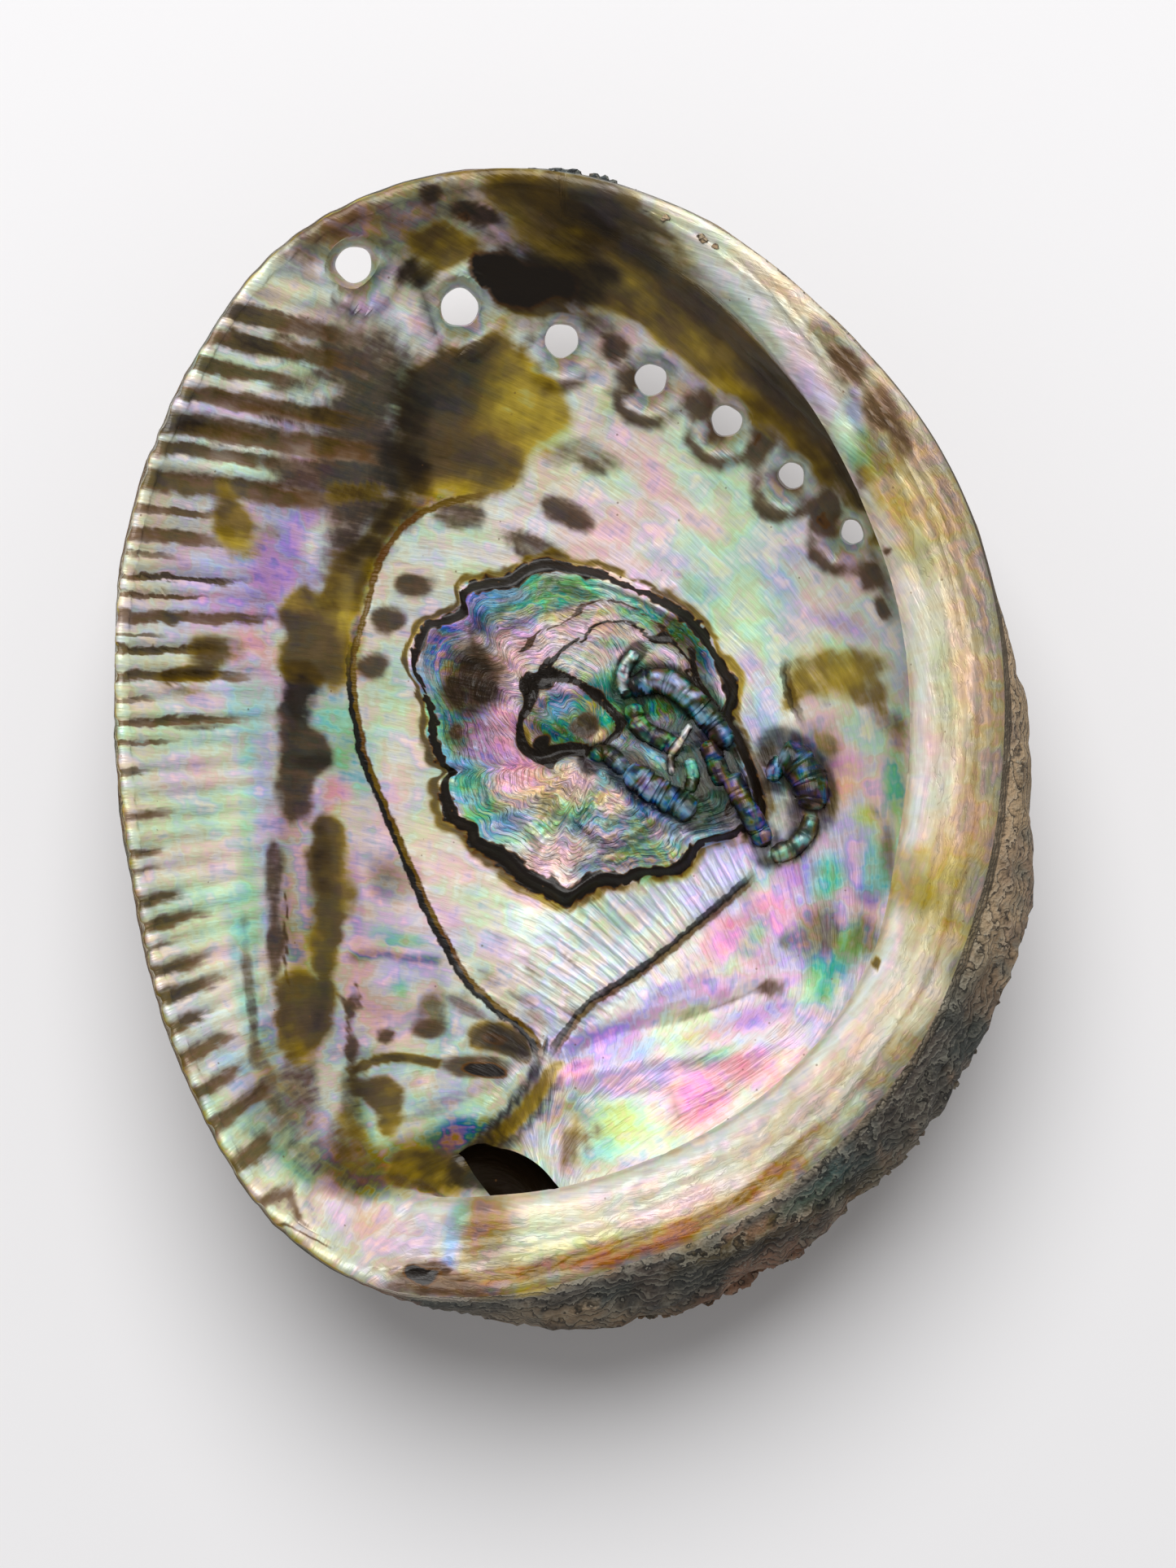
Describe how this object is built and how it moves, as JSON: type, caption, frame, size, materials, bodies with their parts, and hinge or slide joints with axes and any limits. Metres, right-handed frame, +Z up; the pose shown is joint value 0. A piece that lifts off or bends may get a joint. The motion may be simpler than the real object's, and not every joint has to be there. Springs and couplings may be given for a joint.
{
  "type": "abalone shell",
  "caption": "Empty ear-shaped sea shell lying on its back: an oval bowl with a broad inner ledge, a curved row of breathing holes and a small coiled spire.",
  "frame": {"origin": "on the surface the shell rests on, under the middle of its bounding box", "axes": "+Z up, out of the hollow side; +Y along the shell towards the front margin, away from the spire; +X towards the broad inner ledge"},
  "size_m": [0.1366, 0.174, 0.0454],
  "materials": {
    "nacre": "polished iridescent nacre inside with pink, mint and blue play of colour and olive-brown stains; rough grey-brown outside with growth ridges and pale crust"
  },
  "bodies": {
    "root": {"shell": "nacre"}
  },
  "joints": []
}
